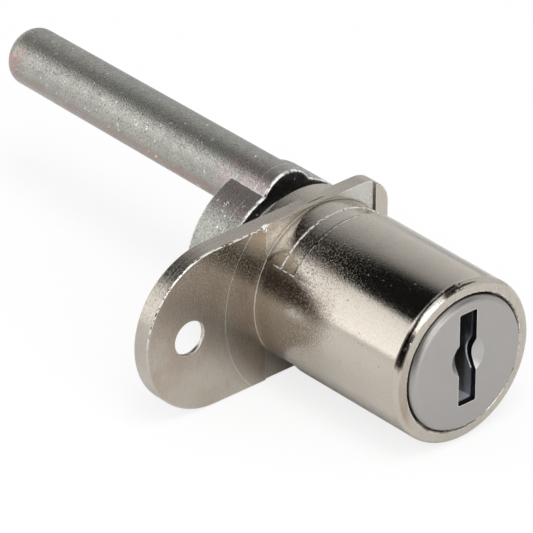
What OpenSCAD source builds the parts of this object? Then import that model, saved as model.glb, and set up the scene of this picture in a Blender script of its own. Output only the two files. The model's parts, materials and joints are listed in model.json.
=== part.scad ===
// Pedestal furniture lock: a round wafer lock barrel on an oval screw flange,
// whose plug turns an eccentric drive pin behind the flange.
// Frame: the barrel's axis is Y, the key goes in along +Y, +Z is up, and the
// origin is where the axis meets the flange's mounting face.
// All lengths are in millimetres.

/* [Barrel] */
// Outside diameter of the barrel, which passes through the panel
barrel_d = 19; // [18.4:0.1:19]
// Length of the barrel in front of the flange
barrel_len = 22.5; // [21.5:0.1:30]
// Radius of the barrel's rounded front edge
barrel_edge_r = 0.8; // [0.3:0.1:0.9]
// Radius of the fillet between the barrel and the flange
base_fillet_r = 0.2; // [0.1:0.05:0.8]
// Diameter of the mouth that takes the plug's head
mouth_d = 16; // [15.2:0.1:17]
// Depth of the mouth
mouth_depth = 3; // [2.6:0.1:4]

/* [Flange] */
// Thickness of the flange
flange_t = 2.2; // [1.6:0.1:4]
// Height of the flange
flange_h = 19; // [17:0.5:24]
// Distance from the barrel's axis to the centre of the flange's round end
lobe_reach = 15; // [14:0.5:24]
// Distance from the barrel's axis to the flange's short end
short_reach = 9.62; // [9.62:0.02:14]
// Corner radius at the short end
short_corner_r = 3.4; // [1:0.1:6]
// Bevel on the flange's edges
flange_bevel = 0.1; // [0.05:0.01:0.1]
// Distance from the barrel's axis to the screw hole
hole_reach = 18.6; // [17:0.1:20]
// Diameter of the screw hole
hole_d = 4; // [3:0.1:5]
// Straight length of the screw hole behind the flange's face
hole_land = 0.45; // [0.3:0.05:1]
// Diameter of the countersink that takes the screw's head from behind
hole_sink_d = 8.2; // [6.5:0.1:9]
// Width of the shallow relief that crosses the flange at the barrel
relief_w = 15.6; // [12:0.1:16.4]
// Depth of the relief in the flange's face and in the barrel
relief_depth = 0.3; // [0.1:0.05:0.45]
// Length of the relief along the barrel
relief_len = 4.4; // [2.5:0.1:8]
// Length of the slightly thicker root inside the relief
relief_root_len = 2.1; // [1:0.1:2.4]
// Extra radius of that root
relief_root_rise = 0.1; // [0.04:0.01:0.15]

/* [Rear boss] */
// Diameter of the boss behind the flange
boss_d = 19.2; // [18.5:0.1:24]
// Length of the boss behind the flange
boss_len = 1.7; // [1.5:0.1:5]
// Bevel on the boss's edge
boss_bevel = 0.2; // [0.1:0.05:0.5]
// Depth of the arc groove in the boss where the stop lug runs
stop_groove_depth = 1.2; // [0.8:0.1:1.3]

/* [Plug] */
// Diameter of the plug's body
plug_d = 13; // [12.8:0.1:13.4]
// Diameter of the plug's head, under the face cap
plug_head_d = 14.2; // [14:0.1:14.4]
// Wall of the housing behind the plug's body
rear_wall = 1.2; // [0.8:0.1:1.6]
// Width across the shank's two flats
shank_flat_w = 5.6; // [5:0.1:6.2]
// Diameter of the shank that carries the cam
shank_d = 7.2; // [6.6:0.1:7.6]
// Diameter of the housing's two locking grooves, across the bottoms
groove_d = 15.4; // [15:0.1:15.6]

/* [Keyway] */
// Width of the key slot in the face cap
slot_w = 2.45; // [1.8:0.05:3]
// Length of the key slot
slot_h = 11.15; // [9:0.05:12]
// Height of the slot's centre above the barrel's axis
slot_lift = 0.85; // [0:0.05:1]
// Corner radius of the key slot
slot_corner_r = 0.25; // [0.1:0.05:0.5]
// How much narrower the keyway in the plug is on each side
keyway_inset = 0.1; // [0.05:0.05:0.4]
// Diameter of the dimple pressed in around the slot's centre
dimple_d = 4.5; // [3.2:0.1:6]
// Depth of the dimple at its middle
dimple_depth = 0.8; // [0.3:0.05:1]

/* [Face cap] */
// Outside diameter of the face cap
cap_d = 15.6; // [15.2:0.1:15.8]
// Sheet thickness of the face cap's front
cap_t = 0.7; // [0.4:0.05:1]
// How far the cap stands proud of the barrel
cap_proud = 0.6; // [0.2:0.05:1.2]
// Radius of the cap's rounded edge
cap_edge_r = 0.8; // [0.3:0.05:1]
// Depth of the cap's skirt behind its front
cap_skirt = 2.2; // [1:0.1:2.4]

/* [Wafers] */
// Thickness of a wafer
wafer_t = 0.9; // [0.6:0.05:1]
// Width of a wafer
wafer_w = 7.4; // [6.8:0.1:7.6]
// Distance from one wafer to the next
wafer_pitch = 2.1; // [1.9:0.05:2.2]
// Distance from the plug head's back to the first wafer
wafer_start = 1.9; // [1.2:0.1:2.5]
// How far a wafer springs out into the locking groove
wafer_travel = 0.8; // [0.5:0.05:0.9]
// Width of the window that the key passes through
window_w = 3.2; // [3:0.1:3.6]
// Height of that window
window_h = 7.2; // [6.5:0.1:7.6]
// One step of the key code
code_step = 0.4; // [0.2:0.05:0.4]

/* [Wafer springs] */
// Wire diameter of a wafer's spring
wire_d = 0.2; // [0.15:0.01:0.24]
// Outside diameter of the spring
spring_d = 1.1; // [0.9:0.05:1.2]
// Length of the spring between its seats
spring_len = 3.6; // [3:0.1:4]
// Number of turns
spring_turns = 6; // [4:1:8]

/* [Cam and drive pin] */
// Diameter of the cam
cam_d = 19; // [17.5:0.1:24]
// Thickness of the cam
cam_t = 5.6; // [4:0.1:9]
// Gap between the boss and the cam
cam_gap = 1.6; // [1:0.1:3]
// Bevel on the cam's front edge
cam_bevel = 0.25; // [0.1:0.05:0.6]
// Diameter of the drive pin
pin_d = 6.7; // [5:0.1:7]
// Distance from the barrel's axis to the drive pin's axis
pin_throw = 7.35; // [7.2:0.05:8.5]
// Length of the drive pin behind the cam
pin_len = 38.1; // [20:0.1:60]
// Radius of the fillet at the drive pin's root
pin_root_r = 0.15; // [0.05:0.05:0.3]
// Diameter of the cam's rounded lobe around the drive pin
lobe_d = 7.1; // [6.4:0.1:8]
// Radius of the drive pin's rounded tip
pin_tip_r = 1.7; // [0.5:0.1:2.2]
// Web of the cam between the shank's end and the screw's washer
shank_web = 2.5; // [1.5:0.1:3]
// Diameter of the cam's hub, which runs in the boss
hub_d = 11; // [10:0.1:11.4]
// Diameter of the cam's thrust shoulder
shoulder_d = 15.8; // [15:0.1:16.2]
// Angle that the key turns
turn_angle = 180; // [90:5:190]
// Angle that the stop lug fills
lug_angle = 24; // [15:1:40]

/* [Cam screw] */
// Thread diameter of the cam screw
screw_d = 4; // [3:0.1:4]
// Length of the screw's thread
screw_len = 8; // [6:0.5:8.5]
// Diameter of the screw's head
screw_head_d = 6.8; // [6:0.1:7.2]
// Height of the screw's head
screw_head_h = 2.4; // [1.8:0.1:3]
// Width of one arm of the cross recess
recess_arm_w = 0.9; // [0.6:0.05:1.1]
// Wire thickness of the lock washer
washer_t = 0.9; // [0.6:0.05:1.2]
// Gap where the lock washer is split
washer_split = 0.5; // [0.3:0.05:1]

/* [Fits] */
// Radial gap of a turning fit
run_gap = 0.05; // [0.02:0.01:0.1]
// Gap between sliding or stacked faces on each side
slide_gap = 0.05; // [0.02:0.01:0.08]
// Angle left between the stop lug and each end of its groove
stop_gap_angle = 1; // [0.5:0.5:3]

/* [Hidden] */
$fn = 96;

// Steps of the key code, wafer by wafer from the front
key_code = [0, 2, 1, -1, 0, -2, 1, -1];
wafer_count = len(key_code);

// Stations along the barrel's axis, from the front to the rear
face_y = -barrel_len;
cap_front_y = face_y - cap_proud;
head_front_y = cap_front_y + cap_t;
mouth_floor_y = face_y + mouth_depth;
head_rear_y = mouth_floor_y - slide_gap;
first_wafer_y = head_rear_y + wafer_start;
last_wafer_y = first_wafer_y + (wafer_count - 1) * wafer_pitch;
boss_rear_y = flange_t + boss_len;
stop_floor_y = boss_rear_y - stop_groove_depth;
plug_rear_y = stop_floor_y - rear_wall - slide_gap;
shoulder_y = boss_rear_y + slide_gap;
cam_front_y = boss_rear_y + cam_gap;
cam_rear_y = cam_front_y + cam_t;
pin_tip_y = cam_rear_y + pin_len;
shank_rear_y = cam_rear_y - shank_web;
washer_rear_y = cam_rear_y + washer_t;
screw_tip_y = washer_rear_y - screw_len;
groove_rear_y = last_wafer_y + wafer_t / 2 + 0.5;

// Radii that several pieces share
barrel_r = barrel_d / 2;
plug_r = plug_d / 2;
plug_bore_r = plug_r + run_gap;
hub_bore_r = hub_d / 2 + run_gap;
relief_r = barrel_r - relief_depth;
wafer_tip_r = plug_r - slide_gap;
wafer_slot_w = wafer_w + 2 * slide_gap;
wafer_slot_t = wafer_t + 2 * slide_gap;
lug_inner_r = hub_d / 2 + 1.15;
lug_outer_r = shoulder_d / 2;

// The spring pocket beside each wafer, and the ear that rides in it
ear_w = spring_d + 0.2;
ear_h = 1.1;
ear_z = spring_len - 2.6;
pocket_r = spring_d / 2 + slide_gap;
pocket_x = wafer_slot_w / 2 + pocket_r;
pocket_floor_z = ear_z - spring_len;
pocket_top_z = ear_z + ear_h + wafer_travel + 2 * slide_gap;

// ---- helpers: shapes laid along the barrel's axis ----

// A profile of (radius, y) points or shapes turned about the barrel's axis
module turned() rotate([-90, 0, 0]) rotate_extrude() children();

// A plain cylinder about the barrel's axis between two stations
module rod_y(r, y0, y1)
    translate([0, y0, 0]) rotate([-90, 0, 0]) cylinder(r = r, h = y1 - y0);

// A cone about the barrel's axis between two stations
module cone_y(r0, r1, y0, y1)
    translate([0, y0, 0]) rotate([-90, 0, 0]) cylinder(r1 = r0, r2 = r1, h = y1 - y0);

// An outline drawn as seen from the front, given depth between two stations
module plate_y(y0, y1)
    translate([0, y1, 0]) rotate([90, 0, 0]) linear_extrude(y1 - y0) children();

// A rectangle given by its lower left and upper right corners
module box2(a, b) translate(a) square([b[0] - a[0], b[1] - a[1]]);

// A rectangle about its own centre with rounded corners
module round_rect(w, h, r) {
    square([w - 2 * r, h], center = true);
    square([w, h - 2 * r], center = true);
    for (sx = [-1, 1], sz = [-1, 1])
        translate([sx * (w / 2 - r), sz * (h / 2 - r)]) circle(r);
}

// A sector of a ring as seen from the front, with angles from +X towards +Z
module ring_sector(r0, r1, a0, a1) {
    steps = max(2, ceil((a1 - a0) / 30));
    reach = 2 * r1;
    difference() {
        intersection() {
            circle(r1);
            polygon(concat([[0, 0]],
                [for (i = [0 : steps]) let (a = a0 + (a1 - a0) * i / steps)
                    reach * [cos(a), sin(a)]]));
        }
        circle(r0);
    }
}

// ---- housing ----

// Barrel profile with the rounded front edge
module barrel_profile() {
    e = barrel_edge_r;
    box2([0, face_y + e], [barrel_r, 0]);
    box2([0, face_y], [barrel_r - e, 0]);
    box2([0, -1], [relief_r - 0.1, flange_t + 0.1]);
    translate([barrel_r - e, face_y + e]) circle(e);
}

// Fillet where the barrel meets the flange
module base_fillet(r) {
    f = base_fillet_r;
    turned() difference() {
        box2([r - f / 2, -f], [r + f, 0.1]);
        translate([r + f, -f]) circle(f);
    }
}

// Outline of the flange, seen from the front
module flange_outline() {
    h = flange_h / 2;
    rc = short_corner_r;
    translate([-lobe_reach, 0]) circle(h);
    box2([-lobe_reach, -h], [short_reach - rc, h]);
    box2([0, rc - h], [short_reach, h - rc]);
    for (s = [-1, 1]) translate([short_reach - rc, s * (h - rc)]) circle(rc);
}

// Section of the flange's edge: a slab with a bevel on both edges,
// reaching from the middle to half the given width
module bevelled_edge(reach) {
    b = flange_bevel;
    polygon([[0, 0], [reach - b, 0], [reach, b],
             [reach, flange_t - b], [reach - b, flange_t], [0, flange_t]]);
}

// The flange: a round end of full height, a straight run and a short end
// with rounded corners
module flange() {
    h = flange_h / 2;
    rc = short_corner_r;
    run = lobe_reach + short_reach - rc;
    b = flange_bevel;
    translate([-lobe_reach, 0, 0]) turned() bevelled_edge(h);
    for (s = [0, 1]) mirror([0, 0, s])
        translate([-lobe_reach, 0, 0]) rotate([90, 0, 90])
            linear_extrude(run)
                polygon([[0, 0], [0, h - b], [b, h], [flange_t - b, h],
                         [flange_t, h - b], [flange_t, 0]]);
    for (s = [-1, 1])
        translate([short_reach - rc, 0, s * (h - rc)]) turned() bevelled_edge(rc);
    translate([short_reach - rc, 0, rc - h]) linear_extrude(flange_h - 2 * rc)
        bevelled_edge(rc);
}

// Everything that the relief takes away, over the flange and the barrel
module relief() {
    reach = barrel_d + flange_h;
    difference() {
        translate([-relief_w / 2, -relief_len, -reach / 2])
            cube([relief_w, relief_len + relief_depth, reach]);
        rod_y(relief_r, -relief_len - 1, relief_depth + 1);
        rod_y(relief_r + relief_root_rise, -relief_root_len, relief_depth + 1);
        translate([0, relief_depth, 0]) base_fillet(relief_r + relief_root_rise);
    }
}

// The arc groove in the boss where the cam's stop lug runs
module stop_groove() {
    half = lug_angle / 2 + stop_gap_angle;
    plate_y(stop_floor_y, boss_rear_y + 1)
        ring_sector(lug_inner_r - 0.15, lug_outer_r + 0.15,
                    -90 - turn_angle - half + 360, 270 + half);
}

// The screw hole: a short straight land, then the countersink, which is
// carried on past the rear face
module screw_hole() {
    r = hole_d / 2;
    sink_r = hole_sink_d / 2;
    past = 0.5;
    flare = (sink_r - r) / (flange_t - hole_land);
    translate([-hole_reach, 0, 0]) {
        rod_y(r, -1, flange_t);
        cone_y(r, sink_r + past * flare, hole_land, flange_t + past);
    }
}

module housing() {
    color([0.74, 0.72, 0.69]) difference() {
        union() {
            turned() barrel_profile();
            intersection() {
                base_fillet(barrel_r);
                plate_y(-1, 0.5) flange_outline();
            }
            flange();
            turned() polygon([[0, flange_t], [boss_d / 2, flange_t],
                              [boss_d / 2, boss_rear_y - boss_bevel],
                              [boss_d / 2 - boss_bevel, boss_rear_y],
                              [0, boss_rear_y]]);
        }
        relief();
        // mouth, plug bore and hub bore
        rod_y(mouth_d / 2, face_y - 1, mouth_floor_y);
        rod_y(plug_bore_r, face_y, plug_rear_y + slide_gap);
        rod_y(hub_bore_r, 0, boss_rear_y + 1);
        // grooves above and below the plug that the wafers lock into
        plate_y(face_y + 1, groove_rear_y) intersection() {
            circle(groove_d / 2);
            square([wafer_slot_w + 0.3, groove_d], center = true);
        }
        stop_groove();
        screw_hole();
    }
}

// ---- plug and its cap ----

// Outline of the key slot, made smaller all round by the inset
module slot_outline(inset)
    translate([0, slot_lift])
        round_rect(slot_w - 2 * inset, slot_h - 2 * inset, slot_corner_r);

// The dimple's cone, moved back by a depth and made larger by a gap. It
// starts a little in front of its station, so that it always meets the sheet.
module dimple_cone(back, gap = 0) {
    mouth_r = dimple_d / 2 + gap;
    floor_r = slot_w / 2 - 0.1 + gap;
    depth = dimple_depth + gap;
    lead = cap_t / 2;
    y0 = cap_front_y + back;
    translate([0, 0, slot_lift])
        cone_y(mouth_r + (mouth_r - floor_r) * lead / depth, floor_r, y0 - lead, y0 + depth);
}

module face_cap() {
    e = cap_edge_r;
    r = cap_d / 2;
    skirt_y = cap_front_y + cap_t + cap_skirt;
    skirt_r = plug_head_d / 2 + run_gap;
    color([0.66, 0.65, 0.64]) difference() {
        union() {
            turned() difference() {
                union() {
                    box2([0, cap_front_y], [r - e, head_front_y]);
                    box2([skirt_r, cap_front_y + e], [r, skirt_y]);
                    intersection() {
                        translate([r - e, cap_front_y + e]) circle(e);
                        box2([0, cap_front_y], [r, skirt_y]);
                    }
                    box2([0, cap_front_y + e / 2], [skirt_r + 0.1, head_front_y]);
                }
                box2([-1, head_front_y], [skirt_r, skirt_y + 1]);
            }
            dimple_cone(cap_t);
        }
        dimple_cone(0);
        translate([0, 0, slot_lift])
            rod_y(slot_w / 2 - 0.1, cap_front_y - 1, head_front_y + dimple_depth + 1);
        plate_y(cap_front_y - 1, head_front_y + dimple_depth + 1) slot_outline(0);
    }
}

// Slot across the plug for one wafer, with the pocket of its spring
module wafer_chamber() {
    t = wafer_slot_t;
    translate([-wafer_slot_w / 2, -t / 2, -plug_d]) cube([wafer_slot_w, t, 2 * plug_d]);
    translate([wafer_slot_w / 2 - 0.1, -t / 2, ear_z - slide_gap])
        cube([ear_w + slide_gap + 0.1, t, pocket_top_z - ear_z + slide_gap]);
    translate([pocket_x, 0, pocket_floor_z])
        cylinder(r = pocket_r, h = pocket_top_z - pocket_floor_z);
}

module plug() {
    color([0.55, 0.54, 0.52]) difference() {
        union() {
            rod_y(plug_head_d / 2, head_front_y, head_rear_y);
            rod_y(plug_r, head_rear_y - 0.1, plug_rear_y);
            // double-D shank
            intersection() {
                rod_y(shank_d / 2, plug_rear_y - 0.1, shank_rear_y);
                translate([-shank_flat_w / 2, 0, -shank_d])
                    cube([shank_flat_w, shank_rear_y + 1, 2 * shank_d]);
            }
        }
        // seat for the cap's dimple
        dimple_cone(cap_t, slide_gap);
        // full key slot in the head, shorter keyway in the body
        plate_y(head_front_y - 1, head_rear_y) slot_outline(keyway_inset);
        plate_y(head_front_y, groove_rear_y) intersection() {
            slot_outline(keyway_inset);
            translate([-slot_w, -plug_d]) square([2 * slot_w, plug_d + plug_r - 1.2]);
        }
        for (i = [0 : wafer_count - 1])
            translate([0, first_wafer_y + i * wafer_pitch, 0]) wafer_chamber();
        // tapped hole for the cam screw
        rod_y(screw_d / 2, screw_tip_y - 0.5, shank_rear_y + 1);
    }
}

// ---- wafers and springs ----

// One wafer, seen from the front: round ends, a window for the key at the
// height that the code gives, and the ear that its spring lifts
module wafer(i) {
    y = first_wafer_y + i * wafer_pitch;
    color([0.80, 0.66, 0.36]) plate_y(y - wafer_t / 2, y + wafer_t / 2) difference() {
        union() {
            intersection() {
                circle(wafer_tip_r);
                square([wafer_w, plug_d], center = true);
            }
            box2([0, ear_z], [wafer_slot_w / 2 + ear_w - slide_gap, ear_z + ear_h]);
        }
        translate([0, slot_lift / 2 + key_code[i] * code_step / 2])
            round_rect(window_w, window_h, slot_corner_r);
    }
}

// A coil spring on its pocket's floor, swept as one closed tube whose end
// turns lie close, as on a closed-end compression spring
module wafer_spring(i) {
    sides = 6;
    per_turn = 10;
    wire_r = wire_d / 2;
    coil_r = (spring_d - wire_d) / 2;
    rings = spring_turns * per_turn;
    low = pocket_floor_z + wire_r + slide_gap / 2;
    rise = spring_len - wire_d - slide_gap;
    end_rise = 1.15 * wire_d;
    open_rise = (rise - 2 * end_rise) / (spring_turns - 2);
    // height of the wire after the given number of turns
    function height(turn) =
        turn < 1 ? low + end_rise * turn
        : turn > spring_turns - 1 ? low + rise - end_rise * (spring_turns - turn)
        : low + end_rise + open_rise * (turn - 1);
    points = [for (k = [0 : rings], j = [0 : sides - 1])
        let (a = 360 * k / per_turn, b = 360 * j / sides, r = coil_r + wire_r * cos(b))
        [r * cos(a), r * sin(a), height(k / per_turn) + wire_r * sin(b)]];
    faces = concat(
        [[for (j = [0 : sides - 1]) j]],
        [for (k = [0 : rings - 1], j = [0 : sides - 1])
            let (m = (j + 1) % sides, p = k * sides, q = p + sides)
            [p + j, q + j, q + m, p + m]],
        [[for (j = [sides - 1 : -1 : 0]) rings * sides + j]]);
    color([0.62, 0.63, 0.65])
        translate([pocket_x, first_wafer_y + i * wafer_pitch, 0])
            polyhedron(points, faces);
}

// ---- cam, screw and washer ----

// Half section of a disc as thick as the cam, with a bevelled front edge
module bevelled_disc(r)
    polygon([[0, cam_front_y], [r - cam_bevel, cam_front_y],
             [r, cam_front_y + cam_bevel], [r, cam_rear_y], [0, cam_rear_y]]);

module drive_cam() {
    tip = pin_tip_r;
    root = pin_root_r;
    pin_r = pin_d / 2;
    half = lug_angle / 2;
    color([0.62, 0.62, 0.60]) difference() {
        union() {
            turned() bevelled_disc(cam_d / 2);
            // shoulder and hub
            rod_y(shoulder_d / 2, shoulder_y, cam_front_y + 0.1);
            rod_y(hub_d / 2, plug_rear_y, cam_front_y + 0.1);
            // stop lug opposite the pin
            plate_y(stop_floor_y + slide_gap, cam_front_y)
                ring_sector(lug_inner_r, lug_outer_r, 270 - half, 270 + half);
            // lobe that carries the drive pin past the disc's rim
            translate([0, 0, pin_throw]) turned() bevelled_disc(lobe_d / 2);
            // drive pin with its root fillet and its rounded tip
            translate([0, 0, pin_throw]) turned() {
                box2([0, cam_rear_y - 0.1], [pin_r, pin_tip_y - tip]);
                difference() {
                    box2([pin_r - root / 2, cam_rear_y - 0.1], [pin_r + root, cam_rear_y + root]);
                    translate([pin_r + root, cam_rear_y + root]) circle(root);
                }
                box2([0, cam_rear_y], [pin_r - tip, pin_tip_y]);
                intersection() {
                    translate([pin_r - tip, pin_tip_y - tip]) circle(tip);
                    box2([0, cam_rear_y], [pin_r, pin_tip_y]);
                }
            }
        }
        // double-D bore for the shank, then the screw's clearance hole
        plate_y(plug_rear_y - 1, shank_rear_y + slide_gap) intersection() {
            circle(shank_d / 2 + run_gap);
            square([shank_flat_w + 2 * slide_gap, 2 * shank_d], center = true);
        }
        rod_y(screw_d / 2 + 0.2, plug_rear_y, cam_rear_y + 1);
    }
}

// Pan head screw with a cross recess
module cam_screw() {
    head_r = screw_head_d / 2;
    top_y = washer_rear_y + screw_head_h;
    edge = screw_head_h * 0.4;
    color([0.70, 0.70, 0.71]) difference() {
        union() {
            rod_y(screw_d / 2 - run_gap, screw_tip_y, washer_rear_y + 0.1);
            turned() {
                box2([0, washer_rear_y], [head_r, top_y - edge]);
                box2([0, washer_rear_y], [head_r - edge, top_y]);
                translate([head_r - edge, top_y - edge]) circle(edge);
            }
        }
        plate_y(top_y - screw_head_h * 0.6, top_y + 1) for (a = [0, 90])
            rotate(a) square([screw_head_d * 0.55, recess_arm_w], center = true);
    }
}

// Split spring washer under the screw's head
module lock_washer() {
    color([0.60, 0.60, 0.61]) plate_y(cam_rear_y, washer_rear_y) difference() {
        circle(screw_head_d / 2);
        circle(screw_d / 2 + 0.1);
        translate([0, -screw_head_d / 2]) rotate(12)
            square([washer_split, screw_head_d], center = true);
    }
}

housing();
face_cap();
plug();
wafer(0);  // wafer_1
wafer(1);  // wafer_2
wafer(2);  // wafer_3
wafer(3);  // wafer_4
wafer(4);  // wafer_5
wafer(5);  // wafer_6
wafer(6);  // wafer_7
wafer(7);  // wafer_8
wafer_spring(0);  // wafer_spring_1
wafer_spring(1);  // wafer_spring_2
wafer_spring(2);  // wafer_spring_3
wafer_spring(3);  // wafer_spring_4
wafer_spring(4);  // wafer_spring_5
wafer_spring(5);  // wafer_spring_6
wafer_spring(6);  // wafer_spring_7
wafer_spring(7);  // wafer_spring_8
drive_cam();
cam_screw();
lock_washer();
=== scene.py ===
"""Looks for the pedestal furniture lock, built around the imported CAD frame.

Shapes are modelled in millimetres in the CAD frame (the barrel's axis is Y, the
key side is -Y, +Z is up) and scaled to metres when a piece is finished.
"""
import json
import math

import bmesh
import bpy
from mathutils import Matrix, Vector


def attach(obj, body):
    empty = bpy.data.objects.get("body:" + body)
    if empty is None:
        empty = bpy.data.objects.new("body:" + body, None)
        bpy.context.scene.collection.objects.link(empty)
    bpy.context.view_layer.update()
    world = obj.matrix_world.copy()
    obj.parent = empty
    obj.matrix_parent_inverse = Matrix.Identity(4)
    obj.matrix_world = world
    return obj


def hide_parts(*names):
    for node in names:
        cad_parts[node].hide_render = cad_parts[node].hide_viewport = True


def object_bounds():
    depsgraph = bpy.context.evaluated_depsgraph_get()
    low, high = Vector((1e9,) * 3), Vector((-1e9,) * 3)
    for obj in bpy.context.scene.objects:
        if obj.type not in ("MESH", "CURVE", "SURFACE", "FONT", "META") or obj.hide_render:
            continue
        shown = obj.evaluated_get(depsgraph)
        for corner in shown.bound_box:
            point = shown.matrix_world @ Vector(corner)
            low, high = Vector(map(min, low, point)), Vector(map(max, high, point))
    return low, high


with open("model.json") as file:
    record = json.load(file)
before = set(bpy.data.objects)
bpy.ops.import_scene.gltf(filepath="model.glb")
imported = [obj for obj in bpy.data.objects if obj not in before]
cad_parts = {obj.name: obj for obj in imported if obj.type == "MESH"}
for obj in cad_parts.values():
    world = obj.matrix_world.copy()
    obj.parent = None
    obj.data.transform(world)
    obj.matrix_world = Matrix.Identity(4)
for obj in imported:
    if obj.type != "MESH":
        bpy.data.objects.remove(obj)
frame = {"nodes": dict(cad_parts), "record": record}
cad_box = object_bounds()

# Sizes in millimetres, as the CAD model has them

MM = 0.001
BARREL_R, BARREL_FRONT = 9.5, -22.5
MOUTH_R, MOUTH_FLOOR = 8.0, -19.5
PLUG_BORE_R, PLUG_BORE_END = 6.55, 1.5
HUB_BORE_R = 5.55
BASE_FILLET, FILLET_INSIDE, FILLET_REAR, MOUTH_CHAMFER = 0.12, 0.2, 0.1, 0.12

FLANGE_T, FLANGE_HALF, LOBE_X, SHORT_X = 2.2, 9.5, -15.0, 9.62
SHORT_CORNER, TRIM_W, TRIM_DEPTH, TRIM_HALF = 3.4, 3, 0.15, 5
HOLE_X, HOLE_R, HOLE_LAND, HOLE_CHAMFER, SINK_R = -18.6, 2.0, 0.45, 0.05, 4.1
SCRIBE_R, SCRIBE_HALF_W, SCRIBE_START, SCRIBE_DEPTH = 13.6, 0.08, -0.1, 0.02

RELIEF_X, RELIEF_DEPTH, RELIEF_SLOPE, RELIEF_FRONT = 7.8, 0.3, 0.2, -4.4
RELIEF_R, ROOT_R, ROOT_FRONT, ROOT_CHAMFER = 9.2, 9.3, -2.1, 0.04

BOSS_R, BOSS_REAR = 9.6, 3.9
STOP_FLOOR, LUG_INNER, LUG_OUTER, GROOVE_GAP = 2.7, 6.65, 7.9, 0.15
GROOVE_START, GROOVE_END = 77, 283
LOCKING_R, LOCKING_HALF_W, LOCKING_REAR = 7.7, 3.9, -2.0

CAP_FRONT, CAP_R, CAP_T = -23.1, 7.8, 0.7
CAP_SKIRT_R, CAP_SKIRT_END = 7.15, -20.2
SLOT_W, SLOT_H, SLOT_Z = 2.45, 11.15, 0.85
DIMPLE_R, DIMPLE_FLOOR_R, DIMPLE_DEPTH = 2.25, 1.125, 0.8

CAM_FRONT, CAM_REAR, CAM_R = 5.5, 11.1, 9.5
LOBE_R, PIN_R, PIN_ROOT_R, PIN_Z, PIN_END = 3.55, 3.35, 3.5, 7.35, 49.2
SHOULDER_R, SHOULDER_FRONT, HUB_R, HUB_FRONT = 7.9, 3.95, 5.5, 1.45
LUG_FRONT, LUG_HALF_ANGLE = 2.75, 12
SHANK_R, SHANK_HALF_FLAT, SHANK_REAR, SCREW_CLEAR_R = 3.65, 2.85, 8.65, 2.2

SCREW_R, SCREW_TIP, HEAD_R, HEAD_H = 1.95, 4.0, 3.4, 2.4
RECESS_L, RECESS_W, RECESS_DEPTH = 3.74, 0.9, 1.44
WASHER_REAR, WASHER_BORE_R, WASHER_SPLIT, SPLIT_TILT = 12.0, 2.1, 0.5, 12

# Rounded edges: radius and steps
BARREL_EDGE, FLANGE_EDGE, BOSS_EDGE = (0.8, 10), (0.15, 3), (0.2, 3)
CAP_EDGE, SLOT_CORNER, HEAD_EDGE = (0.8, 12), (0.25, 5), (0.96, 8)
CAM_EDGE, CAM_REAR_EDGE, PIN_TIP = (0.25, 4), (0.1, 2), (1.7, 10)
# Fine bevels on cut edges: width and steps
CAP_FINE, SCREW_FINE, WASHER_FINE = (0.07, 3), (0.06, 2), (0.08, 2)

# How far shapes that cut, or that end inside another, go past a face
PAST, JOINED, LUG_JOINED, LEAD = 1, 0.5, 0.3, 0.2

ROUND_STEPS, SMALL_STEPS, LOBE_STEPS, CORNER_STEPS, FILLET_STEPS = 192, 96, 96, 24, 6
MERGE, NEAR = 0.0005, 0.01
SMOOTH_ANGLE = math.radians(32)
BEVEL_ANGLE, CUT_ANGLE, BROAD = math.radians(9), math.radians(30), 6
AXIS = Vector((0, 1, 0))


# Helpers that shape a bmesh

def turn(bm, geometry, angle=math.tau, steps=ROUND_STEPS, x=0.0, z=0.0):
    """Spins geometry about a line along Y, closing a full turn."""
    bmesh.ops.spin(bm, geom=geometry, cent=(x, 0, z), axis=AXIS, angle=angle, steps=steps,
                   use_merge=math.isclose(angle, math.tau), use_duplicate=False)
    bmesh.ops.remove_doubles(bm, verts=bm.verts, dist=MERGE)
    bmesh.ops.recalc_face_normals(bm, faces=bm.faces)


def turned(profile, closed=False, steps=ROUND_STEPS, x=0.0, z=0.0):
    """A solid turned from (radius, y) points about a line along Y."""
    bm = bmesh.new()
    verts = [bm.verts.new((x + radius, y, z)) for radius, y in profile]
    pairs = list(zip(verts, verts[1:]))
    if closed:
        pairs.append((verts[-1], verts[0]))
    edges = [bm.edges.new(pair) for pair in pairs]
    turn(bm, verts + edges, steps=steps, x=x, z=z)
    return bm


def rod(radius, start, end, steps=ROUND_STEPS, x=0.0, z=0.0):
    """A plain solid cylinder along Y."""
    return turned([(0, start), (radius, start), (radius, end), (0, end)], steps=steps, x=x, z=z)


def sector(inner, outer, start, end, first, last):
    """A block of a ring between two stations, over angles from +X towards +Z."""
    bm = bmesh.new()
    corners = [(inner, start), (outer, start), (outer, end), (inner, end)]
    face = bm.faces.new([bm.verts.new((radius, y, 0)) for radius, y in corners])
    bmesh.ops.rotate(bm, verts=bm.verts, cent=(0, 0, 0),
                     matrix=Matrix.Rotation(-math.radians(first), 3, AXIS))
    sweep = math.radians(last - first)
    steps = max(4, round(ROUND_STEPS * sweep / math.tau))
    turn(bm, [face] + list(face.edges) + list(face.verts), -sweep, steps)
    return bm


def block(low, high):
    """A box between two corners."""
    bm = bmesh.new()
    bmesh.ops.create_cube(bm, size=1)
    size = Vector(high) - Vector(low)
    bmesh.ops.scale(bm, verts=bm.verts, vec=size)
    bmesh.ops.translate(bm, verts=bm.verts, vec=(Vector(low) + Vector(high)) / 2)
    return bm


def round_edges(bm, chosen, width, segments):
    """Bevels the edges whose two ends both pass a test of (x, y, z)."""
    edges = [e for e in bm.edges if all(chosen(*v.co) for v in e.verts)]
    bmesh.ops.bevel(bm, geom=edges, offset=width, offset_type="OFFSET", affect="EDGES",
                    segments=segments, profile=0.5, material=-1, clamp_overlap=False)


def round_rim(bm, station, radius, edge, centre_z=0.0):
    """Rounds the circle of this radius at this station."""
    round_edges(bm, lambda x, y, z: near(y, station) and near(math.hypot(x, z - centre_z), radius), *edge)


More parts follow.
